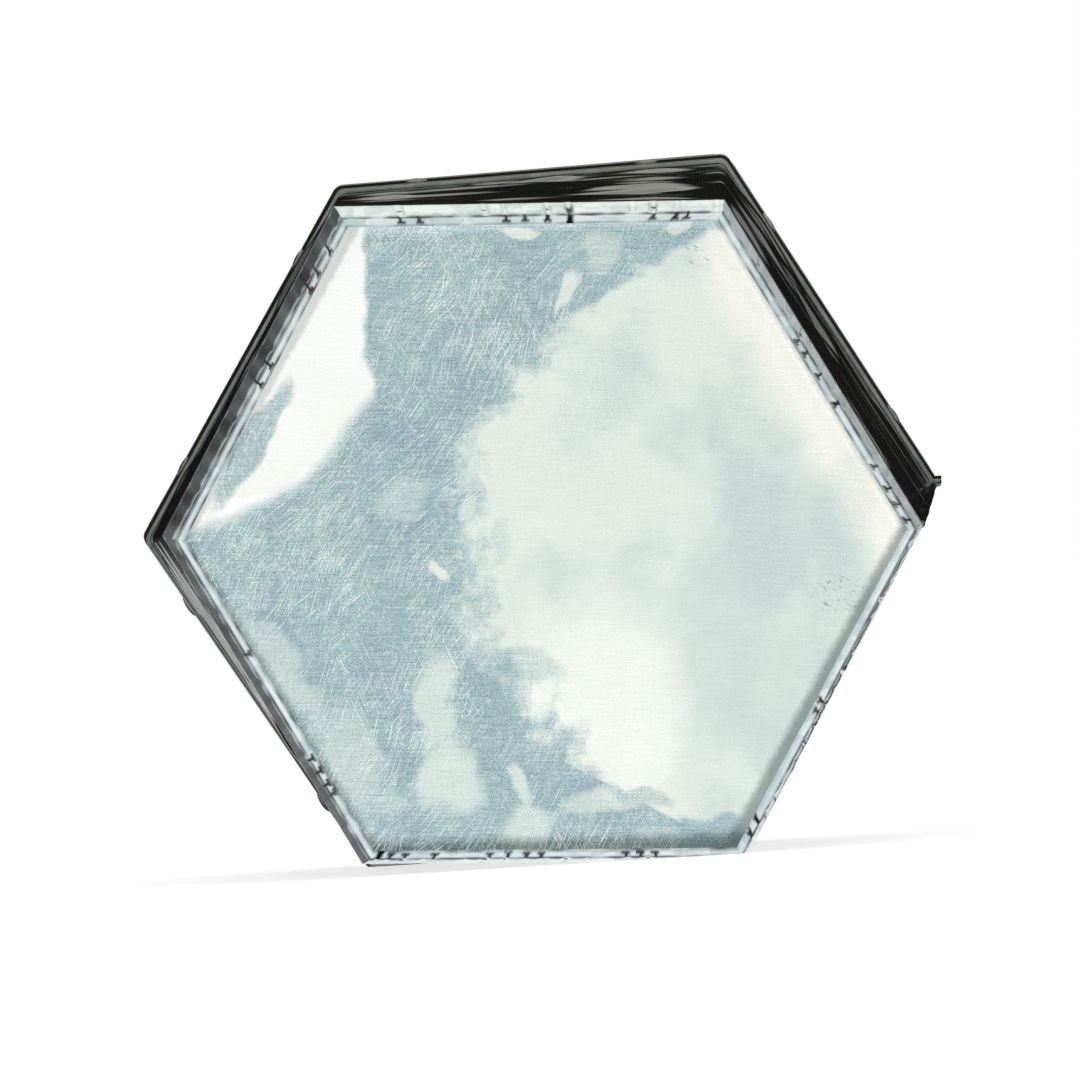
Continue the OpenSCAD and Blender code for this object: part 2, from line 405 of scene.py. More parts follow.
def panel_finish():
    """Rolled zinc sheet: blue-grey tarnish to the left and clean zinc to the right, both partly painted
    reflections, and a painted highlight on a wedge.
    """
    look, nodes = settings("barrel_finish"), Finish("rolled_zinc_panel")
    turn = settings("barrel_stage").roll
    x, _, z = nodes.split(nodes.place())
    up = z - CLOSED_END.z / MM
    u, v = x * math.cos(turn) - up * math.sin(turn), x * math.sin(turn) + up * math.cos(turn)
    here = nodes.vector(u, v)
    broad = nodes.noise(here, 42.0, 2.0) - 0.5
    ragged = nodes.noise(here, 9.0, 4.0, 0.62) - 0.5
    fine = nodes.noise(here, 2.2, 3.0, 0.7) - 0.5
    speckle = nodes.noise(here, 0.5, 2.0, 0.75) - 0.5
    blotch = nodes.noise(here, 17.0, 3.0, 0.6) - 0.5
    bent_u = u + (nodes.noise(nodes.vector(u, v, 31.0), 15.0, 2.0) - 0.5) * 13.0
    bent_v = v + (nodes.noise(nodes.vector(u, v, 57.0), 15.0, 2.0) - 0.5) * 13.0
    eased_u, eased_v = u * 0.5 + bent_u * 0.5, v * 0.5 + bent_v * 0.5

    # Where the lighter, clean tone goes; this patchwork partly paints reflections into the colour
    clean = None
    softness = (1.8, 5.0, 9.0, 6.0, 0.5)
    raggedness = (3.0, 22.0, 34.0, 30.0, 0.0)
    for line, soft, rag in zip(zip(CLEAN_EDGE, CLEAN_EDGE[1:]), softness, raggedness):
        edge = (beyond(bent_u if rag else u, bent_v if rag else v, line) + ragged * rag).step(-soft, soft)
        clean = edge if clean is None else clean.least(edge)
    clean = clean.most(gathered(nodes, bent_u, bent_v, ragged + fine * 0.6, CLOUDS))
    clean = clean * (1.0 - gathered(nodes, bent_u, bent_v, ragged, SHADOWS))

    # The wedge: a painted highlight where the tilted sheet reflects a soft light
    foot, slant, upright = [beyond(eased_u, eased_v, line) for line in zip(WEDGE_EDGE, WEDGE_EDGE[1:])]
    wedge = foot.math("SMOOTH_MIN", foot, slant, 12.0).step(-3.0, 3.0)
    wedge = wedge * (upright + (broad + blotch) * 7.0 + ragged * 1.2).step(-1.2, 1.4)
    sliver = (oval(eased_u, eased_v, (-87, 28), (23, 4.6), 60) + fine * 0.3).step(1.2, 0.5)
    wedge = wedge * (1.0 - sliver * 0.85)

    rise = nodes.noise(nodes.stretched(u, v, 0.0, 11.0, 0.45), 1.0, 2.0) - 0.5
    cross = nodes.noise(nodes.stretched(u, v, math.radians(90), 8.0, 0.5), 1.0, 2.0) - 0.5
    # Blue-grey tarnish and clean zinc, which partly paint the studio's reflections in the base colour
    tarnish_and_reflection = nodes.mix(look.tarnish_and_reflection, shade(150, 176, 186),
                        (blotch * 1.7 + broad * 1.2 + 0.42).step(0.25, 0.85))
    tarnish_and_reflection = nodes.mix(tarnish_and_reflection, shade(206, 219, 218), (fine * 1.8 + ragged * 0.6 + 0.30).step(0.28, 0.95))
    bare_and_reflection = nodes.mix(look.bare_and_reflection, shade(206, 220, 216),
                     (broad * 1.8 + blotch + u * 0.006 + 0.3).step(0.2, 0.95))
    flank = beyond(u, v, ((109.0, 2.0), (53.0, 94.0)))
    bare_and_reflection = nodes.mix(bare_and_reflection, shade(246, 247, 239),
                     (flank + ragged * 8.0).step(20.0, 7.0) * (u - 40.0).step(0.0, 14.0))
    # Painted highlight: a soft pool of reflected light on the clean zinc, low in the middle
    painted_glow = (oval(bent_u, bent_v, (17, -48), (26, 36), 12) + broad).step(1.3, 0.2)
    bare_and_reflection = nodes.mix(bare_and_reflection, shade(246, 250, 242), painted_glow * 0.75)
    base = nodes.mix(tarnish_and_reflection, bare_and_reflection, clean)
    # Painted highlight on the wedge
    base = nodes.mix(base, look.bright, wedge)
    # Painted shade and painted highlights where the panel rolls over at its rim
    for edge, width, strength, dark in RIM_BANDS:
        band = (from_side(u, v, edge, turn) + fine * 2.0).step(width, 0.2 * width) * strength
        base = nodes.mix(base, shade(70, 92, 92) if dark else shade(220, 232, 234), band)

    marks = None
    for index, (angle, spread, keep) in enumerate(((38, 30, 0.615), (62, 24, 0.61), (118, 36, 0.64),
                                                   (74, 40, 0.62), (52, 18, 0.63))):
        one = scratches(nodes, u, v, math.radians(angle), 11.3 * index + 3.0, spread, keep)
        marks = one if marks is None else marks.most(one)
    marks = marks * (1.0 - wedge * 0.85) * (1.0 - clean * 0.6) * (u * -1.0).step(-75.0, 10.0)
    base = nodes.mix(base, shade(236, 244, 241), marks * 0.8)
    scuff_place = (oval(u, v, (43, 85), (9, 4), -40).step(1.2, 0.3)).most(
        oval(u, v, (88, -17), (9, 6), 0).step(1.3, 0.3))
    scuffs = nodes.noise(nodes.stretched(u, v, math.radians(-30), 2.4, 0.8), 1.0, 2.0).step(0.58, 0.68)
    specks = nodes.noise(here, 1.3, 1.0).step(0.79, 0.83)
    base = nodes.mix(base, shade(112, 122, 116), (scuffs * scuff_place * 0.6).most(specks * 0.4))
    calm = 1.0 - clean * 0.78
    light = 1.0 + (speckle * 1.9 + rise * 0.8 + cross * 0.35) * calm * (1.0 - wedge * 0.88)
    base = nodes.mix(base, nodes.vector(light, light, light), 1.0, "MULTIPLY")

    rough = 0.30 + speckle * 0.16 - clean * 0.05 - wedge * 0.06 + marks * 0.1
    bump = nodes.bump(marks * -0.5 + rise * 0.3 + speckle * 0.3, 0.0001, 0.35)
    return nodes.set(base_color=base, metallic=1.0, roughness=rough, normal=bump)


def sheet_finish(name, base_shade, dark_shade, streak, rough_base, ripple=0.03, smear=0.08):
    """Bright thin sheet whose streaks run round the barrel, darkened with painted shade where the mesh's
    point attribute asks for it.
    """
    nodes = Finish(name)
    x, y, z = nodes.split(nodes.place())
    height = y * AXIS.y + z * AXIS.z
    wander = (nodes.noise(nodes.vector(x, y, z), 34.0, 2.0) - 0.5) * 14.0
    lines = nodes.noise(nodes.vector(x / 60.0, z / 60.0, (height + wander) / streak), 1.0, 3.0, 0.65)
    smudge = nodes.noise(nodes.vector(x, y, z), 11.0, 4.0, 0.6)
    speck = nodes.noise(nodes.vector(x, y, z), 0.6, 2.0, 0.7)
    spangle = nodes.cells(nodes.vector(x, y, z), 5.0)
    painted_shade = nodes.add("ShaderNodeAttribute", {"attribute_name": "painted_shade"}, (), output="Fac")
    base = nodes.mix(base_shade, dark_shade,
                     (lines * 0.6 + smudge * 0.4 + spangle * 0.2 - 0.1).step(0.3, 0.8))
    # Painted shade: where the mesh asks, the crimps' groove, pinches, ridge and bevel go near black and lose
    # their metal
    base = nodes.mix(base, shade(4, 6, 6), painted_shade)
    rough = rough_base + (smudge - 0.35).most(0.0) * smear + speck * 0.03 + painted_shade * 0.4
    bump = nodes.bump(lines + speck * 0.03, ripple * MM, 1.0)
    return nodes.set(base_color=base, metallic=1.0 - painted_shade, roughness=rough, normal=bump)


def plated_finish(name, base_shade, rough_base, brushed, oxide=0.0):
    """Zinc plate or cast zinc: a fine crystal bloom, handling marks, and dull patches of white oxide."""
    nodes = Finish(name)
    place = nodes.place()
    x, y, z = nodes.split(place)
    bloom = nodes.cells(place, 2.6)
    dull = nodes.noise(place, 14.0, 4.0, 0.6)
    brush = nodes.noise(nodes.vector(x / 0.35, y / 0.35, z / brushed), 1.0, 2.0)
    slanted = nodes.vector(x / 0.4 + z / 0.5, y / 30.0, z / 14.0 - x / 11.0)
    marks = nodes.noise(slanted, 1.0, 1.0).step(0.64, 0.70)
    base = nodes.mix(base_shade, shade(158, 166, 166), (dull * 0.8 + bloom * 0.35 - 0.15).step(0.25, 0.95))
    base = nodes.mix(base, shade(232, 236, 233), marks * 0.4)
    rough = rough_base + dull * 0.16 + bloom * 0.05
    metal = 1.0 - dull.step(0.25, 0.75) * oxide
    bump = nodes.bump(brush * 0.5 + bloom * 0.3 - marks * 0.6, 0.00006, 0.3)
    return nodes.set(base_color=base, metallic=metal, roughness=rough, normal=bump)


def rubber_finish(name, dusty):
    """Moulded black rubber: matt, faintly pebbled, with grey dust in the hollows."""
    look, nodes = settings("barrel_finish"), Finish(name)
    place = nodes.place()
    pebble = nodes.noise(place, 0.9, 3.0, 0.6)
    dust = nodes.noise(place, 18.0, 4.0, 0.65)
    base = nodes.mix(look.rubber, shade(86, 86, 84), dust.step(0.45, 0.85) * dusty)
    bump = nodes.bump(pebble + dust * 0.5, 0.00025, 0.4)
    return nodes.set(base_color=base, metallic=0.0, roughness=0.55 + pebble * 0.25, normal=bump)


# ---- modelling ----

def deselect():
    bpy.ops.object.select_all(action="DESELECT")


def only(piece):
    deselect()
    piece.select_set(True)
    bpy.context.view_layer.objects.active = piece


def pick(piece, kind, test):
    """Selects just the points, edges or faces whose corners pass a test."""
    bpy.ops.mesh.select_mode(type=kind)
    bpy.ops.mesh.select_all(action="DESELECT")
    mesh = bmesh.from_edit_mesh(piece.data)
    if kind == "VERT":
        for point in mesh.verts:
            point.select_set(test(point.co))
    else:
        for part in mesh.edges if kind == "EDGE" else mesh.faces:
            part.select_set(test(*[v.co for v in part.verts]))
    bmesh.update_edit_mesh(piece.data)


def hexagon(name, apothem, height, corner=0.0, cuts=(), side=None, fill="NOTHING"):
    """Starts a piece as a six-sided outline, its corners rounded and its sides cut into short edges."""
    deselect()
    bpy.ops.mesh.primitive_circle_add(vertices=SIDES, radius=apothem / COS_HALF, fill_type=fill,
                                      location=(0, 0, height), rotation=(0, 0, HALF_SIDE))
    piece = bpy.context.object
    piece.name = piece.data.name = name
    bpy.ops.object.transform_apply(location=True, rotation=True, scale=True)
    bpy.ops.object.mode_set(mode="EDIT")
    if side:
        middle = (side - 0.5) * SIDE_ANGLE
        facing = Vector((math.cos(middle), math.sin(middle), 0))
        pick(piece, "VERT", lambda point: point.dot(facing) < apothem * 0.9)
        bpy.ops.mesh.delete(type="VERT")
    if corner:
        bpy.ops.mesh.select_all(action="SELECT")
        bpy.ops.mesh.bevel(offset=corner * math.tan(HALF_SIDE), segments=5, affect="VERTICES")
    pick(piece, "EDGE", lambda a, b: (a - b).length > apothem / 2)
    for number in cuts:
        bpy.ops.mesh.subdivide(number_cuts=number)
    bpy.ops.mesh.select_all(action="SELECT")
    return piece


def sweep(name, section, corner=0.0, cuts=(), side=None, closed=False):
    """Carries a six-sided outline through a section of [apothem, height] points; stays in edit mode."""
    piece = hexagon(name, *section[0], corner, cuts, side)
    stops = [*section, section[0]] if closed else section
    for (apothem, height), (wider, higher) in zip(stops, stops[1:]):
        bpy.ops.mesh.extrude_region()
        bpy.ops.transform.resize(value=(wider / apothem, wider / apothem, 1), center_override=(0, 0, 0))
        bpy.ops.transform.translate(value=(0, 0, higher - height))
    if closed:
        bpy.ops.mesh.select_all(action="SELECT")
        bpy.ops.mesh.remove_doubles(threshold=0.00001)
    return piece


def turn_outward(piece, inside=(0, 0, 0.09)):
    """Leaves edit mode with an open sheet's faces turned away from a place inside the barrel."""
    bpy.ops.mesh.select_all(action="SELECT")
    bpy.ops.mesh.normals_make_consistent(inside=False)
    mesh = bmesh.from_edit_mesh(piece.data)
    facing = sum(f.normal.dot(f.calc_center_median() - Vector(inside)) * f.calc_area() for f in mesh.faces)
    if facing < 0:
        bpy.ops.mesh.flip_normals()
    bpy.ops.object.mode_set(mode="OBJECT")


def close_up(piece):
    """Leaves edit mode with a closed shape's faces turned outward."""
    bpy.ops.mesh.select_all(action="SELECT")
    bpy.ops.mesh.normals_make_consistent(inside=False)
    if bmesh.from_edit_mesh(piece.data).calc_volume(signed=True) < 0:
        bpy.ops.mesh.flip_normals()
    bpy.ops.object.mode_set(mode="OBJECT")


def chain(name, points):
    """A line of edges through [radius, height] points."""
    deselect()
    bpy.ops.mesh.primitive_plane_add(size=MM)
    piece = bpy.context.object
    piece.name = piece.data.name = name
    bpy.ops.object.mode_set(mode="EDIT")
    bpy.ops.mesh.select_mode(type="VERT")
    bpy.ops.mesh.select_all(action="SELECT")
    bpy.ops.mesh.merge(type="CENTER")
    bpy.ops.mesh.select_all(action="SELECT")
    radius, height = points[0]
    bpy.ops.transform.translate(value=(radius, 0, height))
    for (radius, height), (wider, higher) in zip(points, points[1:]):
        step = (wider - radius, 0, higher - height)
        bpy.ops.mesh.extrude_region_move(TRANSFORM_OT_translate={"value": step})
    bpy.ops.object.mode_set(mode="OBJECT")
    return piece


def turned(name, points, steps=64, pitch=0.0, turns=1):
    """Turns a line of [radius, height] points about the barrel's axis, as a ring or as a screw thread."""
    piece = chain(name, points)
    apply(piece, "SCREW", axis="Z", angle=math.tau, steps=steps, render_steps=steps,
          screw_offset=pitch, iterations=turns, use_merge_vertices=not pitch, merge_threshold=0.00001)
    bpy.ops.object.mode_set(mode="EDIT")
    bpy.ops.mesh.select_all(action="SELECT")
    bpy.ops.mesh.remove_doubles(threshold=0.00001)
    bpy.ops.mesh.fill_holes(sides=8)
    close_up(piece)
    return piece


def joined(name, *pieces):
    only(pieces[0])
    for piece in pieces[1:]:
        piece.select_set(True)
    bpy.ops.object.join()
    piece = bpy.context.object
    piece.name = piece.data.name = name
    return piece


def apply(piece, kind, **values):
    only(piece)
    modifier = piece.modifiers.new(kind.lower(), kind)
    for name, value in values.items():
        setattr(modifier, name, value)
    bpy.ops.object.modifier_apply(modifier=modifier.name)


def reshape(piece, change):
    """Moves a piece's points: change takes and returns them in millimetres, one row each."""
    points = np.empty(len(piece.data.vertices) * 3)
    piece.data.vertices.foreach_get("co", points)
    moved = change(points.reshape(-1, 3) / MM) * MM
    piece.data.vertices.foreach_set("co", moved.ravel())
    piece.data.update()


def side_places(points):
    """For each point: its side from 0 to 5, its apothem, and how far along the side it is, 0 to 1."""
    x, y, _ = points.T
    side = np.floor(np.arctan2(y, x) / SIDE_ANGLE).astype(int) % SIDES
    middle = (side + 0.5) * SIDE_ANGLE
    out = x * np.cos(middle) + y * np.sin(middle)
    along = y * np.cos(middle) - x * np.sin(middle)
    half = np.maximum(out, 1e-6) * math.tan(HALF_SIDE)
    return side, out, np.clip(along / (2 * half) + 0.5, 0, 1)


def corner_moves(knocks, apothem):
    """How far each corner of a six-sided outline is moved, as [x, y] rows."""
    radius = apothem / COS_HALF
    turn = np.arange(SIDES) * SIDE_ANGLE
    outward, around = np.array(knocks).T
    bent = turn + np.radians(around)
    return np.stack([(radius + outward) * np.cos(bent) - radius * np.cos(turn),
                     (radius + outward) * np.sin(bent) - radius * np.sin(turn)], axis=1)


def knock(points, hold=0.0):
    """Racks and knocks the shell out of true; nothing inside the hold apothem is moved."""
    side, out, part = side_places(points)
    height = points[:, 2] * MM
    closed = np.clip((BAND_LOW - height) / (BAND_LOW - SKIRT_END), 0, 1)[:, None]
    rim = np.maximum(KNOCK_APOTHEM, (WALL_AT_END + height * math.tan(DRAFT)) / MM)
    share = np.clip((out - hold) / (rim - hold), 0, 1.1)[:, None]
    move = 0
    for knocks, weight in ((END_KNOCKS, closed), (MOUTH_KNOCKS, 1 - closed)):
        corners = corner_moves(knocks, KNOCK_APOTHEM)
        here, following = corners[side], corners[(side + 1) % SIDES]
        move = move + weight * (here * (1 - part)[:, None] + following * part[:, None])
    slip = np.clip(points[:, 2] / 5, 0, 1)[:, None] * closed * np.array(SHOULDER_SHIFT)
    moved = points.copy()
    moved[:, :2] += (move + slip) * share
    lowest = (WALL_AT_END + PROUD) / MM + points[:, 2] * math.tan(DRAFT) - 0.05
    moved[:, 1] = np.minimum(moved[:, 1], lowest)
    return moved


def lay_down(piece):
    only(piece)
    piece.matrix_world = Matrix.Translation(CLOSED_END) @ LAY.to_4x4()
    bpy.ops.object.transform_apply(location=True, rotation=True, scale=True)


def finish_piece(piece, body, slot, material, *nodes, smooth=35):
    """Lays a piece down, gives it its finish, ties it to its body and hides the CAD nodes it stands for."""
    lay_down(piece)
    piece.data.materials.clear()
    piece.data.materials.append(material)
    bpy.ops.object.shade_smooth_by_angle(angle=math.radians(smooth))
    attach(piece, body)
    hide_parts(*nodes)
    return piece


def softened(name, node, edge, segments=2, merge=0.00001):
    """A copy of a CAD node in the barrel's own frame, merged, cleaned and with its edges rounded."""
    deselect()
    piece = frame["nodes"][node].copy()
    piece.data = piece.data.copy()
    piece.parent = None
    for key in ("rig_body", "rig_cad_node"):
        piece.pop(key, None)
    bpy.context.scene.collection.objects.link(piece)
    piece.name = piece.data.name = name
    piece.matrix_world = Matrix.Identity(4)
    piece.data.transform(LAY.transposed().to_4x4() @ Matrix.Translation(-CLOSED_END))
    only(piece)
    bpy.ops.object.mode_set(mode="EDIT")
    bpy.ops.mesh.select_all(action="SELECT")
    bpy.ops.mesh.remove_doubles(threshold=merge)
    bpy.ops.mesh.dissolve_limited(angle_limit=math.radians(1.0))
    bpy.ops.object.mode_set(mode="OBJECT")
    apply(piece, "BEVEL", width=edge, segments=segments, limit_method="ANGLE",
          angle_limit=math.radians(30), harden_normals=False, use_clamp_overlap=True)
    return piece


# ---- relief of the sheet metal, all in millimetres ----

def line_places(u, v, line):
    """How far points are to the left of a line, and how far along it, 0 to 1."""
    (start_u, start_v), (end_u, end_v) = line
    du, dv = end_u - start_u, end_v - start_v
    reach = math.hypot(du, dv)
    off = ((v - start_v) * du - (u - start_u) * dv) / reach
    return off, ((u - start_u) * du + (v - start_v) * dv) / reach ** 2


def slope(value, low, high):
    part = np.clip((value - low) / (high - low), 0, 1)
    return part * part * (3 - 2 * part)


def panel_relief(points):
    """The closed panel's oil-canning: a low pillow, a tilted wedge, one sharp crease and small dents."""
    strength, turn = settings("barrel_shell").oil_canning, settings("barrel_stage").roll
    x, y, z = points.T
    u, v = x * math.cos(turn) + y * math.sin(turn), x * math.sin(turn) - y * math.cos(turn)
    out = side_places(points)[1]
    rim = settings("barrel_shell").face / MM
    relief = 0.75 * (1 - (out / rim) ** 2)
    relief += 0.14 * np.sin(u / 13 + 0.6 * np.sin(v / 17)) * np.cos(v / 19 + 1.1)
    relief += 0.08 * np.sin(v / 7.5 + u / 21)
    beyond_crease = np.min([line_places(u, v, line)[0] for line in zip(WEDGE_EDGE, WEDGE_EDGE[1:])], axis=0)
    relief -= 0.030 * np.clip(beyond_crease, 0, 40)
    relief += 0.25 * np.exp(-(beyond_crease / 1.6) ** 2)
    off_line, along = line_places(u, v, CLEAN_EDGE[4:6])
    fold = slope(off_line, -0.8, 0.8) * np.exp(-np.clip(off_line, 0, None) / 9)
    relief += 0.4 * fold * slope(along, -0.25, 0.1)
    for (dent_u, dent_v), radius, height in DENTS:
        relief += height * np.exp(-((u - dent_u) ** 2 + (v - dent_v) ** 2) / (radius * 0.6) ** 2)
    relief *= slope(rim - out, 0, 6)
    relief -= 0.45 * np.exp(-((rim - out - 2.2) / 1.5) ** 2)
    moved = points.copy()
    moved[:, 2] -= np.where(z < 0.05, relief * strength * slope(rim - out, 0, 0.5), 0)
    return moved


def crimp_relief(side):
    """The crimping tool's pinches and scallops on one edge, as a change for reshape."""
    draw = random.Random(40 + side)
    scallops = [draw.uniform(0, math.tau) for _ in range(3)]

    def change(points):
        part = side_places(points)[2]
        height = points[:, 2]
        along = part * CRIMP_LENGTH
        on_ridge, on_bevel = slope(height, 0.6, -0.2), slope(height, 0.0, 1.2) * slope(height, 6.5, 4.0)
        inset, sink = np.zeros(len(points)), np.zeros(len(points))
        for place, strength in PINCHES[side]:
            near = strength * np.exp(-((along - place * CRIMP_LENGTH) / 0.75) ** 2)
            sink += 0.75 * near * on_ridge
            inset += 0.35 * near * on_bevel
        wave = np.sin(along / 6.0 * math.tau + scallops[0]) + 0.6 * np.sin(along / 3.7 + scallops[1])
        inset += 0.55 * np.clip(wave - 0.6, 0, None) * on_bevel + 0.07 * wave * on_bevel
        sink += 0.10 * np.sin(along / 9.0 + scallops[2]) * on_ridge
        moved = points.copy()
        moved[:, 2] += sink
        middle = (side - 0.5) * SIDE_ANGLE
        moved[:, 0] -= inset * math.cos(middle)
        moved[:, 1] -= inset * math.sin(middle)
        return moved

    return change


def crimp_painted_shade(side, points):
    """0 to 1 for each point, all painted shade: the dark line in the groove behind the ridge, ticks over the
    ridge at the pinches, and shade on the ridge and the bevel.
    """
    _, out, part = side_places(points)
    along = part * CRIMP_LENGTH
    draw = random.Random(70 + side)
    first, second = draw.uniform(0, math.tau), draw.uniform(0, math.tau)
    uneven = 0.78 + 0.22 * np.sin(along / 4.1 + first) + 0.18 * np.sin(along / 1.3 + second)
    groove = np.exp(-((out - GROOVE) / 0.42) ** 2) * slope(points[:, 2], 1.8, 0.8)
    painted_shade = 1.25 * uneven * groove
    ridge, bevel = RIDGE_AND_BEVEL_SHADE[side]
    painted_shade = np.maximum(painted_shade, ridge * uneven * slope(out, GROOVE - 1.5, GROOVE - 2.1))
    behind = slope(out, GROOVE + 0.2, GROOVE + 0.8) * slope(points[:, 2], 9, 5)
    painted_shade = np.maximum(painted_shade, bevel * (0.9 + 0.12 * uneven) * behind)
    for place, strength in PINCHES[side]:
        off = np.abs(along - place * CRIMP_LENGTH)
        reach = min(2.5, 0.3 + 1.5 * strength)
        over = slope(out, GROOVE - reach - 0.35, GROOVE - reach) * slope(out, GROOVE + 0.75, GROOVE + 0.25)
        tick = np.exp(-(off / (0.42 + 0.3 * (strength > 1.5))) ** 2)
        lobes = np.exp(-((off - 0.8) / 0.4) ** 2) * np.exp(-((out - GROOVE + reach) / 0.45) ** 2)
        painted_shade = np.maximum(painted_shade, 3.0 * np.minimum(1, strength) * np.maximum(tick * over, 0.8 * lobes))
    return np.clip(painted_shade, 0, 1)


def wrap_relief(points):
    """Shallow rolled beads round the wrap, long waves along it, and ripples by one mouth corner."""
    ripple = settings("barrel_shell").ripple / MM
    side, out, part = side_places(points)
    height = points[:, 2]
    bead = sum(0.5 * np.exp(-((height - place) / 2.4) ** 2) for place in BEADS)
    moved = points.copy()
    moved[:, :2] *= (1 + bead / out)[:, None]
    draw = random.Random(5)
    free = slope(height, 12, 20) * slope(height, BAND_LOW / MM, BAND_LOW / MM - 6)
    wave, patch = np.zeros(len(points)), np.zeros(len(points))
    for _ in range(9):
        lengthwise, across = draw.uniform(1.1, 6.0), draw.uniform(-9, 9)
        phase, size = draw.uniform(0, math.tau), draw.uniform(0.5, 1.0)
        wave += size * lengthwise * np.sin(height / lengthwise + across * part + side * 1.7 + phase)
    for _ in range(4):
        lengthwise, across, phase = draw.uniform(12, 30), draw.uniform(-12, 12), draw.uniform(0, math.tau)
        patch += np.sin(height / lengthwise + across * part + side * 2.3 + phase)
    near_corner = np.where(side == 4, part, np.where(side == 5, 1 - part, 0)) ** 2
    wave = wave * ripple * (0.035 + 0.16 * slope(patch, 0.4, 2.4) + 0.20 * near_corner)
    wave += 0.9 * ripple * near_corner ** 2 * np.sin(height / 2.2 + 14 * part) * slope(height, 50, 90)
    wave *= free * np.clip(7 * part * (1 - part), 0, 1)
    middle = (side + 0.5) * SIDE_ANGLE
    moved[:, 0] += wave * np.cos(middle)
    moved[:, 1] += wave * np.sin(middle)
    return moved


# ---- pieces ----

AT_AXIS = 0.001                  # a radius that closes up when doubles are merged, in millimetres
GROOVE = 95.85                   # apothem of the dark line behind the crimped ridge, in millimetres
CRIMP_SECTION = ((93.2, 0.05), (93.25, -0.5), (93.6, -0.82), (94.4, -0.95), (95.15, -0.8), (95.55, -0.25),
                 (GROOVE, 0.35), (96.2, 0.75), (96.7, 1.45), (97.3, 2.6), (97.95, 3.9), (98.35, 5.0),
                 (98.5, 6.4), (98.6, 8.5), (98.8, 11.9))
BEADS = (80.0, 110.0)


class BARREL_OT_closed_panel(bpy.types.Operator):
    """Build the crimped-in sheet that closes the far end from the lid"""

    bl_idname = "barrel.closed_panel"
    bl_label = "Closed Panel"

    def execute(self, context):
        shell = context.scene.barrel_shell
        piece = hexagon("closed_panel", shell.face, 0, fill="TRIFAN")
        bpy.ops.mesh.subdivide(number_cuts=63)
        pick(piece, "EDGE", lambda a, b: min(side_places(np.array([a, b]))[1]) > shell.face - 0.00001)
        bpy.ops.mesh.extrude_region_move(TRANSFORM_OT_translate={"value": (0, 0, 2 * MM)})
        turn_outward(piece)
        reshape(piece, panel_relief)
        reshape(piece, knock)
        apply(piece, "SOLIDIFY", thickness=shell.panel_sheet, offset=-1)
        finish_piece(piece, "shell", "zinc_panel", panel_finish(), "end_panel", smooth=60)
        return {"FINISHED"}


class BARREL_OT_crimped_edges(bpy.types.Operator):
    """Build the six strips that are pinched over the closed panel's edges"""

    bl_idname = "barrel.crimped_edges"
    bl_label = "Crimped Edges"

    def execute(self, context):
        shell, look = context.scene.barrel_shell, context.scene.barrel_finish
        finish = sheet_finish("crimped_zinc", look.crimp, shade(176, 194, 198), 1.4, 0.09, 0.05)
        section = [(apothem * MM, height * MM) for apothem, height in CRIMP_SECTION]
        for side in range(1, SIDES + 1):
            piece = sweep(f"crimped_edge_{side}", section, cuts=(9, 24), side=side)
            turn_outward(piece)
            points = np.array([v.co for v in piece.data.vertices]) / MM
            # Painted shade on the crimped edge, kept on its points for the finish
            painted_shade = piece.data.attributes.new("painted_shade", "FLOAT", "POINT")
            painted_shade.data.foreach_set("value", crimp_painted_shade(side, points))
            reshape(piece, crimp_relief(side))
            reshape(piece, knock)
            apply(piece, "SOLIDIFY", thickness=shell.crimp_sheet, offset=-1)
            finish_piece(piece, "shell", "binding_sheet", finish, f"edge_binding_{side}", smooth=40)
        return {"FINISHED"}


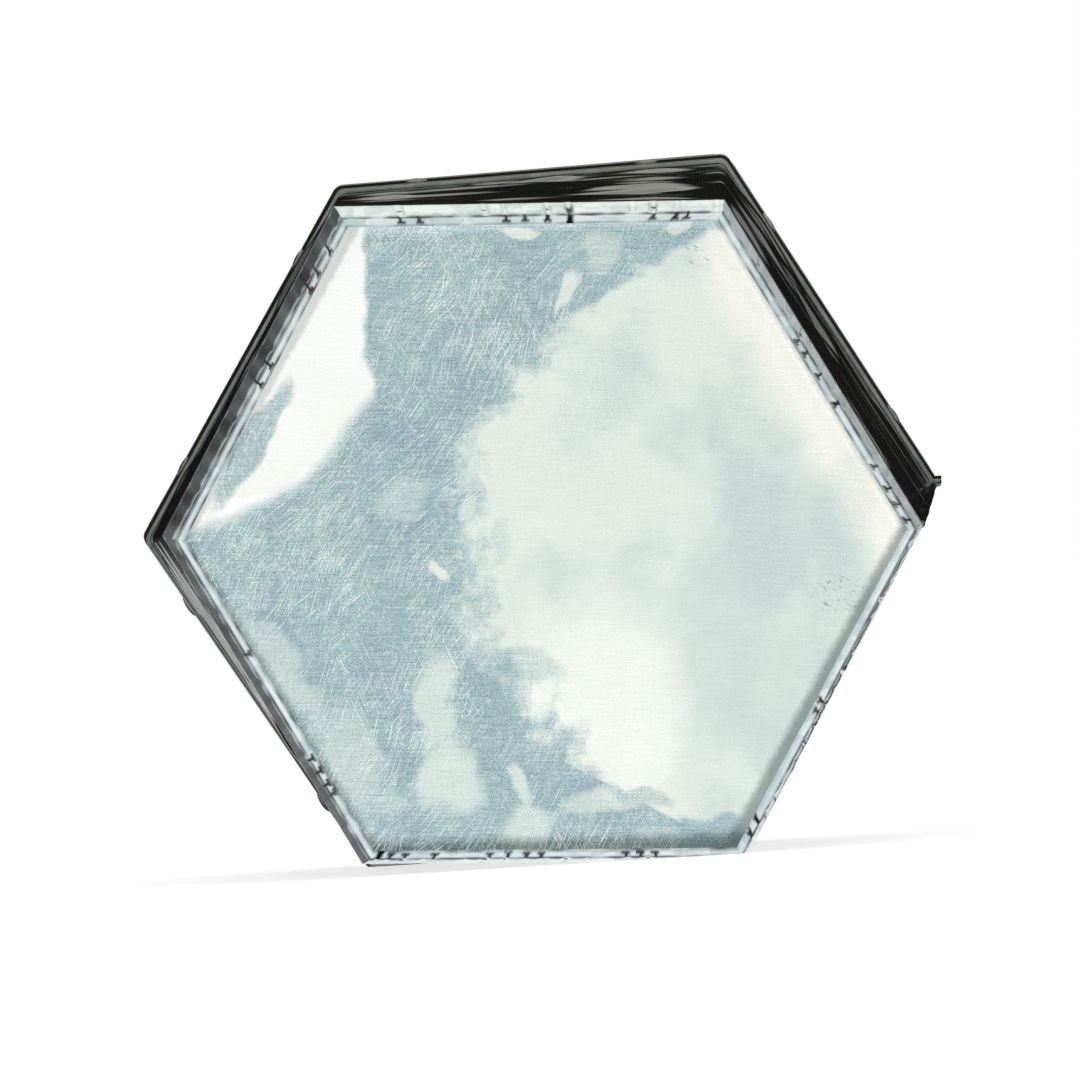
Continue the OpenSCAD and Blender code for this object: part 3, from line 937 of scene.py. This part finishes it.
class BARREL_OT_side_wrap(bpy.types.Operator):
    """Build the sheet wrapped round the six sides, and the seam where its ends are folded together"""

    bl_idname = "barrel.side_wrap"
    bl_label = "Side Wrap"

    def execute(self, context):
        shell, look = context.scene.barrel_shell, context.scene.barrel_finish
        finish = sheet_finish("dark_sheet", look.wrap, shade(84, 90, 88), 6.0, 0.07, 0.10, smear=0.10)
        low, high = 3 * MM, BAND_HIGH - 0.1 * MM
        rings = 110
        stops = [low + (high - low) * i / (rings - 1) for i in range(rings)]
        piece = sweep("side_wrap", [(wall(stop) - 0.1 * MM, stop) for stop in stops], 2.5 * MM, (36,))
        turn_outward(piece)
        reshape(piece, wrap_relief)
        reshape(piece, knock)
        apply(piece, "SOLIDIFY", thickness=shell.wrap_sheet, offset=-1)
        finish_piece(piece, "shell", "dark_sheet", finish, "shell_wrap", smooth=40)
        self.seam(finish)
        return {"FINISHED"}

    def seam(self, finish):
        """A doubled fold that lies along one corner, its lip a little open."""
        low, high = heights("corner_seam")
        corner = (wall(low) - 0.1 * MM) / COS_HALF - 2 * MM
        deselect()
        bpy.ops.mesh.primitive_cube_add(size=1, location=(corner + 2 * MM, 0, low))
        piece = bpy.context.object
        piece.name = piece.data.name = "standing_seam"
        piece.scale = (4 * MM, 2 * MM, 1 * MM)
        bpy.ops.object.transform_apply(location=True, rotation=True, scale=True)
        bpy.ops.object.mode_set(mode="EDIT")
        tall = high - low
        reach = tall * math.tan(DRAFT) / COS_HALF
        steps = 36
        for _ in range(steps):
            top = max(v.co.z for v in bmesh.from_edit_mesh(piece.data).verts)
            pick(piece, "FACE", lambda *corners: min(c.z for c in corners) > top - 0.00001)
            bpy.ops.mesh.extrude_region_move(
                TRANSFORM_OT_translate={"value": (reach / steps, 0, tall / steps)})
        pick(piece, "EDGE", lambda a, b: min(self.outside(a, low), self.outside(b, low)) > corner + 3.9 * MM)
        bpy.ops.mesh.bevel(offset=0.7 * MM, segments=3)
        pick(piece, "FACE", lambda *corners: min(c.y for c in corners) > 0.9 * MM
             and min(self.outside(c, low) for c in corners) < corner + 3.4 * MM)
        bpy.ops.mesh.inset(thickness=0.35 * MM, depth=-0.3 * MM)
        close_up(piece)
        draw = random.Random(3)
        phases = [draw.uniform(0, math.tau) for _ in range(3)]

        def handled(points):
            moved = points.copy()
            height = points[:, 2]
            moved[:, 1] += 0.18 * np.sin(height / 11 + phases[0]) + 0.1 * np.sin(height / 4.7 + phases[1])
            moved[:, 0] += 0.12 * np.sin(height / 8.3 + phases[2])
            return moved

        reshape(piece, handled)
        reshape(piece, knock)
        finish_piece(piece, "shell", "dark_sheet", finish, "corner_seam")

    def outside(self, point, low):
        return point.x - (point.z - low) * math.tan(DRAFT) / COS_HALF


class BARREL_OT_mouth_hoop(bpy.types.Operator):
    """Build the hoop round the mouth, its turned-out ends and the rivets that hold it"""

    bl_idname = "barrel.mouth_hoop"
    bl_label = "Mouth Hoop"

    def execute(self, context):
        look = context.scene.barrel_finish
        finish = sheet_finish("hoop_sheet", look.band, shade(94, 100, 95), 6.0, 0.08, 0.08, smear=0.10)
        across = (0.0, 0.4, 1.2, 2.6, 3.2, 3.8, 8.0, 12.5, 17.0, 21.2, 21.8, 22.4, 23.8, 24.6, 25.0)
        proud = (0.5, 1.0, 1.2, 1.2, 0.85, 1.1, 1.25, 1.3, 1.25, 1.1, 0.85, 1.2, 1.2, 1.0, 0.5)
        outside = [(wall(BAND_LOW + step * MM) + rise * MM, BAND_LOW + step * MM)
                   for step, rise in zip(across, proud)]
        inside = [(wall(height) + 0.05 * MM, height) for height in (BAND_HIGH, BAND_LOW)]
        hoop = sweep("mouth_hoop", outside + inside, 3.2 * MM, (36,), closed=True)
        close_up(hoop)
        reshape(hoop, knock)
        lugs = [self.lug(way) for way in (-1, 1)]
        piece = joined("mouth_hoop", hoop, *lugs)
        finish_piece(piece, "shell", "band_sheet", finish, "rim_band")
        self.rivets(plated_finish("rivet_steel", shade(122, 126, 121), 0.3, 0.4))
        return {"FINISHED"}

    def lug(self, way):
        """One end of the hoop, turned out along the corner at +X."""
        low, high = BAND_LOW + 0.6 * MM, BAND_HIGH - 0.6 * MM
        corner = wall((low + high) / 2) / COS_HALF
        deselect()
        middle = (corner + 0.2 * MM, way * 0.65 * MM, (low + high) / 2)
        bpy.ops.mesh.primitive_cube_add(size=1, location=middle)
        piece = bpy.context.object
        piece.scale = (5 * MM, 1.1 * MM, high - low)
        piece.rotation_euler = (0, DRAFT, 0)
        bpy.ops.object.transform_apply(location=True, rotation=True, scale=True)
        bpy.ops.object.mode_set(mode="EDIT")
        bpy.ops.mesh.select_all(action="SELECT")
        bpy.ops.mesh.bevel(offset=0.35 * MM, segments=3)
        pick(piece, "EDGE", lambda a, b: abs(a.z - b.z) > 15 * MM)
        bpy.ops.mesh.subdivide(number_cuts=6)
        close_up(piece)
        reshape(piece, knock)
        return piece

    def rivets(self, finish):
        """Domed heads, two on each side but the one that the barrel lies on."""
        profile = ((AT_AXIS, -0.4), (3.5, -0.4), (3.5, 0.05), (3.3, 0.3), (2.6, 0.6), (1.6, 0.82),
                   (0.6, 0.92), (AT_AXIS, 0.93))
        dome = turned("band_rivet", [(radius * MM, height * MM) for radius, height in profile], steps=20)
        heads = []
        height = (BAND_LOW + BAND_HIGH) / 2
        for side in (1, 3, 4, 5, 6):
            middle = (side - 0.5) * SIDE_ANGLE
            for along in (-36 * MM, 36 * MM):
                head = dome.copy()
                head.data = dome.data.copy()
                bpy.context.scene.collection.objects.link(head)
                out = wall(height) + 1.15 * MM
                place = np.array([[out * math.cos(middle) - along * math.sin(middle),
                                   out * math.sin(middle) + along * math.cos(middle), height]]) / MM
                seat = Vector(knock(place)[0]) * MM
                turn = Matrix.Rotation(middle, 4, "Z") @ Matrix.Rotation(math.pi / 2 - DRAFT, 4, "Y")
                head.matrix_world = Matrix.Translation(seat) @ turn
                heads.append(head)
        bpy.data.objects.remove(dome)
        for head in heads:
            only(head)
            bpy.ops.object.transform_apply(location=True, rotation=True, scale=True)
        finish_piece(joined("rivet_heads", *heads), "shell", "rivet_steel", finish, "band_rivets")


class BARREL_OT_rubber_liner(bpy.types.Operator):
    """Build the rubber liner and the gasket on its mouth"""

    bl_idname = "barrel.rubber_liner"
    bl_label = "Rubber Liner"

    def execute(self, context):
        shell = context.scene.barrel_shell
        rubber = rubber_finish("liner_rubber", 0.55)
        skin, slack = shell.wrap_sheet + 0.7 * MM, 2.2 * MM
        bore = wall(0) - 0.8 * MM - shell.liner_wall
        rise = math.tan(DRAFT)
        floor = 8.7 * MM
        low, top = 1.9 * MM, BAND_HIGH
        outside = [(wall(0) - 5 * MM, low)] + [
            (wall(z) - skin - slack, z) for z in (7 * MM, 40 * MM, 80 * MM, 120 * MM)]
        lip = [(wall(top) - skin, top - 0.4 * MM), (wall(top) - skin - 0.6 * MM, top),
               (bore + top * rise + 1.2 * MM, top), (bore + top * rise + 0.2 * MM, top - 0.9 * MM)]
        rings = (140 * MM, 120 * MM, 90 * MM, 55 * MM, 25 * MM, floor + 6 * MM)
        inside = [(bore + z * rise, z) for z in rings]
        base = bore + floor * rise
        foot = [(base - 0.7 * MM, floor + 3 * MM), (base - 2.6 * MM, floor + 0.8 * MM),
                (base - 6 * MM, floor)]
        piece = sweep("rubber_liner", outside + lip + inside + foot, 12 * MM, (10,))
        bpy.ops.mesh.edge_face_add()
        pick(piece, "VERT", lambda point: abs(point.z - low) < 0.00001)
        bpy.ops.mesh.edge_face_add()
        close_up(piece)
        reshape(piece, lambda points: knock(points, np.where(points[:, 2] > PLUG_FROM, bore / MM + 6, 0)))
        finish_piece(piece, "shell", "liner_rubber", rubber, "liner")

        gasket_low, gasket_top = heights("mouth_gasket")
        inner, outer = bore + gasket_top * rise + 0.1 * MM, wall(top) + PROUD - 0.1 * MM
        section = ((inner + 0.3 * MM, gasket_low), (outer - 0.6 * MM, gasket_low),
                   (outer, gasket_low + 0.7 * MM), (outer, gasket_top - 1.8 * MM),
                   (outer - 0.5 * MM, gasket_top - 0.7 * MM), (outer - 1.6 * MM, gasket_top),
                   (inner + 5.2 * MM, gasket_top), (inner + 4.6 * MM, gasket_top - 0.4 * MM),
                   (inner + 4.0 * MM, gasket_top), (inner + 1.0 * MM, gasket_top),
                   (inner + 0.3 * MM, gasket_top - 0.3 * MM), (inner, gasket_top - 1.0 * MM))
        gasket = sweep("mouth_gasket_ring", section, 7 * MM, (16,), closed=True)
        close_up(gasket)
        reshape(gasket, lambda points: knock(points, inner / MM + 5))
        finish_piece(gasket, "shell", "gasket_rubber", rubber_finish("gasket_rubber", 0.7), "mouth_gasket")
        return {"FINISHED"}


class BARREL_OT_plug_lid(bpy.types.Operator):
    """Build the lid: two plates with a ribbed rubber plug between them"""

    bl_idname = "barrel.plug_lid"
    bl_label = "Plug Lid"

    def execute(self, context):
        lid, look = context.scene.barrel_lid, context.scene.barrel_finish
        plate = plated_finish("lid_plate", look.plate, 0.26, 5.0, oxide=0.35)
        for name, node, edge in (("outer_lid_plate", "outer_plate", lid.edge),
                                 ("inner_lid_plate", "inner_plate", 0.5 * MM)):
            finish_piece(softened(name, node, edge), "lid", "lid_steel", plate, node)

        low, high = heights("lid_seal")
        rise = math.tan(DRAFT)
        bore = wall(0) - 0.8 * MM - context.scene.barrel_shell.liner_wall - 0.45 * MM
        pitch = (high - low) / 3
        section = [(12 * MM, low)]
        for rib in range(3):
            for step, depth in ((0.0, 1.0), (0.06, 0.25), (0.16, 0.0), (0.5, 0.0), (0.6, 0.3), (0.66, 1.2),
                                (0.74, 2.3), (0.83, 2.6), (0.92, 2.2)):
                height = low + (rib + step) * pitch
                section.append((bore + height * rise - depth * MM, height))
        section += [(bore + high * rise - 2.4 * MM, high), (12 * MM, high)]
        seal = sweep("ribbed_lid_seal", section, 13 * MM, (10,), closed=True)
        close_up(seal)
        finish_piece(seal, "lid", "seal_rubber", rubber_finish("seal_rubber", 0.45), "lid_seal")
        return {"FINISHED"}


class BARREL_OT_stud_and_nuts(bpy.types.Operator):
    """Build the threaded stud with its head, washers and jam nut"""

    bl_idname = "barrel.stud_and_nuts"
    bl_label = "Stud and Nuts"

    def execute(self, context):
        lid, look = context.scene.barrel_lid, context.scene.barrel_finish
        plate = plated_finish("zinc_plate", look.hardware, 0.24, 0.4)
        gasket = rubber_finish("washer_rubber", 0.5)
        crest = 4.62 * MM
        root = crest - lid.thread_depth
        start, end = heights("jam_nut")[0] - 0.5 * MM, STUD_HIGH - 1.2 * MM
        turns = int((end - start) / lid.thread_pitch)
        pitch = lid.thread_pitch
        inside = root - 0.3 * MM
        thread = turned("thread", [(root, start), (crest, start + 0.42 * pitch),
                                   (crest, start + 0.54 * pitch), (root, start + 0.96 * pitch),
                                   (inside, start + 0.96 * pitch), (inside, start),
                                   (root, start)], 32, pitch, turns)
        head_low = STUD_LOW
        core = turned("core", [(AT_AXIS * MM, head_low), (4 * MM, head_low + 0.1 * MM),
                               (7.5 * MM, head_low + 0.6 * MM),
                               (9.4 * MM, head_low + 1.5 * MM), (10 * MM, head_low + 2.5 * MM),
                               (9.8 * MM, head_low + 3 * MM), (4.6 * MM, head_low + 3 * MM),
                               (4.6 * MM, start), (root + 0.02 * MM, start + 0.6 * MM),
                               (root + 0.02 * MM, STUD_HIGH - 1.4 * MM),
                               (root - 0.2 * MM, STUD_HIGH - 0.3 * MM),
                               (root - 0.9 * MM, STUD_HIGH), (AT_AXIS * MM, STUD_HIGH)], 48)
        finish_piece(joined("threaded_stud", core, thread), "lid", "zinc_plated", plate, "stud")
        finish_piece(softened("jam_nut_hex", "jam_nut", 0.5 * MM), "lid", "zinc_plated", plate, "jam_nut")
        for name, node, outer, inner, body, slot, finish, edge in (
                ("head_seal_ring", "head_washer", 11.5, 4.75, "lid", "gasket_rubber", gasket, 0.5),
                ("boss_seal_ring", "seal_washer", 13.0, 4.75, "lid", "gasket_rubber", gasket, 0.7),
                ("plain_washer", "nut_washer", 14.0, 4.8, "nut_washer", "zinc_plated", plate, 0.35)):
            low, high = heights(node)
            outer, inner, edge = outer * MM, inner * MM, edge * MM
            ring = turned(name, [(inner, low + edge), (inner + edge, low), (outer - edge, low),
                                 (outer - 0.3 * edge, low + 0.3 * edge), (outer, low + edge),
                                 (outer, high - edge), (outer - 0.3 * edge, high - 0.3 * edge),
                                 (outer - edge, high), (inner + edge, high),
                                 (inner, high - edge), (inner, low + edge)], 72)
            finish_piece(ring, body, slot, finish, node)
        return {"FINISHED"}


class BARREL_OT_wing_nut(bpy.types.Operator):
    """Build the cast wing nut, its edges run together as in a casting"""

    bl_idname = "barrel.wing_nut"
    bl_label = "Wing Nut"

    def execute(self, context):
        piece = softened("cast_wing_nut", "wing_nut", 0.4 * MM)
        apply(piece, "REMESH", mode="VOXEL", voxel_size=0.45 * MM, adaptivity=0)
        apply(piece, "SMOOTH", factor=0.5, iterations=8)

        def bored(points):
            radius = np.hypot(points[:, 0], points[:, 1])
            moved = points.copy()
            grow = np.where(radius < 5.6, np.maximum(4.85 / np.maximum(radius, 1), 1), 1)
            moved[:, :2] *= grow[:, None]
            return moved

        reshape(piece, bored)
        finish = plated_finish("cast_zinc", shade(188, 190, 186), 0.34, 3.0)
        finish_piece(piece, "wing_nut", "cast_zinc", finish, "wing_nut", smooth=60)
        return {"FINISHED"}


# ---- stage ----

def studio_world(scene):
    """White to the camera, pale to the bench, and a dark-backed studio in the metal's reflections."""
    world = bpy.data.worlds.new("studio")
    world.use_nodes = True
    scene.world = world
    nodes = Nodes(world.node_tree)
    x, y, z = nodes.split(nodes.add("ShaderNodeTexCoord", None, (), output="Generated"))
    away = y.math("ARCCOSINE", y.least(1.0).most(-1.0)) * math.degrees(1)
    side = (x * x + z * z) ** 0.5 + 0.0001
    total, weights = None, None
    for angle, bright in ((90, 1.15), (30, 0.50), (-30, 0.6), (-90, 0.9), (-150, 0.18), (150, 0.14)):
        facing = (x * math.cos(math.radians(angle)) + z * math.sin(math.radians(angle))) / side
        weight = facing.most(0.0) ** 6.0
        total = weight * bright if total is None else total + weight * bright
        weights = weight if weights is None else weights + weight
    ring = total / (weights + 0.001)
    streak = nodes.noise(nodes.vector(x * 2.0, y * 9.0, z * 2.0), 1.0, 2.0)
    ring = ring * (0.75 + streak * 0.5)
    front = 1.0 - (z + 0.2).step(0.0, -0.25) * 0.35 + (z - 0.1).step(0.0, 0.8) * 0.1
    ripple = away.step(22.0, 34.0) * away.step(54.0, 46.0) * (ring * 0.75 + 0.15)
    beside = ring * away.step(46.0, 54.0) * away.step(100.0, 80.0)
    bright = 0.012 + ripple + beside + front * away.step(80.0, 100.0)
    warm = nodes.mix(shade(238, 246, 255), shade(255, 252, 244), (z + 0.1).step(-0.3, 0.5))
    glossy = nodes.mix(warm, nodes.vector(bright, bright, bright), 1.0, "MULTIPLY")
    rays = [nodes.add("ShaderNodeLightPath", None, (), output=name)
            for name in ("Is Glossy Ray", "Is Camera Ray")]
    base = nodes.mix((0.9, 0.9, 0.9), glossy, rays[0])
    base = nodes.mix(base, (1.0, 1.0, 1.0), rays[1])
    nodes.put(world.node_tree.nodes["Background"].inputs["Color"], base)


def bench_finish():
    """Plain pale bench top; in reflections it is bright before the barrel and dark behind it."""
    nodes = Finish("pale_bench")
    _, y, _ = nodes.split(nodes.place())
    fleck = nodes.noise(nodes.place(), 300.0, 2.0)
    nodes.set(base_color=nodes.mix((0.86, 0.86, 0.86), (0.9, 0.9, 0.9), fleck), roughness=0.8)
    bright = 0.03 + y.step(100.0, -100.0) * (1.03 - y.step(-400.0, -2600.0) * 0.08) + (
        y.step(130.0, 240.0) * y.step(900.0, 600.0) * 0.8)
    grey = nodes.vector(bright, bright, bright)
    seen = nodes.add("ShaderNodeEmission", None, {"Color": grey, "Strength": 1.0})
    ray = nodes.add("ShaderNodeLightPath", None, (), output="Is Glossy Ray")
    white = nodes.add("ShaderNodeEmission", None, {"Color": (1.0, 1.0, 1.0, 1.0), "Strength": 1.0})
    plain = nodes.add("ShaderNodeMixShader", None, (0.75, Value(nodes, nodes.shader.outputs[0]), white))
    surface = nodes.add("ShaderNodeMixShader", None, (ray, plain, seen))
    nodes.put(nodes.tree.nodes["Material Output"].inputs["Surface"], surface)
    return nodes.material


class BARREL_OT_stage(bpy.types.Operator):
    """Set up the camera, the pale bench and the soft light"""

    bl_idname = "barrel.stage"
    bl_label = "Stage"

    def execute(self, context):
        scene, stage = context.scene, context.scene.barrel_stage
        aim = CLOSED_END + Vector((-1.5 * MM, 0, -1.04 * MM))
        place = Vector((aim.x, CLOSED_END.y - stage.distance, stage.camera_height))
        camera = bpy.data.objects.new("camera", bpy.data.cameras.new("camera"))
        scene.collection.objects.link(camera)
        camera.data.sensor_width = 36
        camera.data.lens = 36 * stage.distance / stage.field
        camera.data.clip_end = 100
        camera.location = place
        camera.rotation_euler = ((aim - place).to_track_quat("-Z", "Y").to_matrix()
                                 @ Matrix.Rotation(-stage.roll, 3, "Z")).to_euler()
        scene.camera = camera

        deselect()
        bpy.ops.mesh.primitive_plane_add(size=2 * stage.floor)
        floor = context.object
        floor.name = floor.data.name = "bench"
        floor.data.materials.append(bench_finish())

        for name, place, strength, spread in (("overhead", (0.2, -0.5, 2.0), 2.6, 70),
                                              ("front", (-0.5, -2.0, 1.3), 0.6, 40)):
            light = bpy.data.lights.new(name, "SUN")
            light.energy, light.angle = strength, math.radians(spread)
            lamp = bpy.data.objects.new(name, light)
            scene.collection.objects.link(lamp)
            lamp.location = place
            lamp.rotation_euler = (Vector((0, 0, 0.1)) - Vector(place)).to_track_quat("-Z", "Y").to_euler()
            lamp.visible_glossy = False
        studio_world(scene)
        scene.view_settings.view_transform = "Standard"
        return {"FINISHED"}


# ---- add-on ----

SETTINGS = (("barrel_shell", BarrelShell), ("barrel_lid", BarrelLid), ("barrel_finish", BarrelFinish),
            ("barrel_stage", BarrelStage))
OPERATORS = (BARREL_OT_stage, BARREL_OT_closed_panel, BARREL_OT_crimped_edges, BARREL_OT_side_wrap,
             BARREL_OT_mouth_hoop, BARREL_OT_rubber_liner, BARREL_OT_plug_lid, BARREL_OT_stud_and_nuts,
             BARREL_OT_wing_nut)


class BARREL_PT_sidebar(bpy.types.Panel):
    """Sizes and colours of the barrel, and a button for each group of pieces"""

    bl_idname = "BARREL_PT_sidebar"
    bl_label = "Tumbler Barrel"
    bl_space_type = "VIEW_3D"
    bl_region_type = "UI"
    bl_category = "Barrel"

    def draw(self, context):
        for group, kind in SETTINGS:
            box = self.layout.box()
            for name in kind.__annotations__:
                box.prop(getattr(context.scene, group), name)
        for operator in OPERATORS:
            self.layout.operator(operator.bl_idname)


def register():
    for group, kind in SETTINGS:
        bpy.utils.register_class(kind)
        setattr(bpy.types.Scene, group, PointerProperty(type=kind))
    for kind in (*OPERATORS, BARREL_PT_sidebar):
        bpy.utils.register_class(kind)


def unregister():
    for kind in reversed((*OPERATORS, BARREL_PT_sidebar)):
        bpy.utils.unregister_class(kind)
    for group, kind in reversed(SETTINGS):
        delattr(bpy.types.Scene, group)
        bpy.utils.unregister_class(kind)


def main():
    register()
    for operator in OPERATORS:
        group, name = operator.bl_idname.split(".")
        getattr(getattr(bpy.ops, group), name)()


if __name__ == "__main__":
    main()
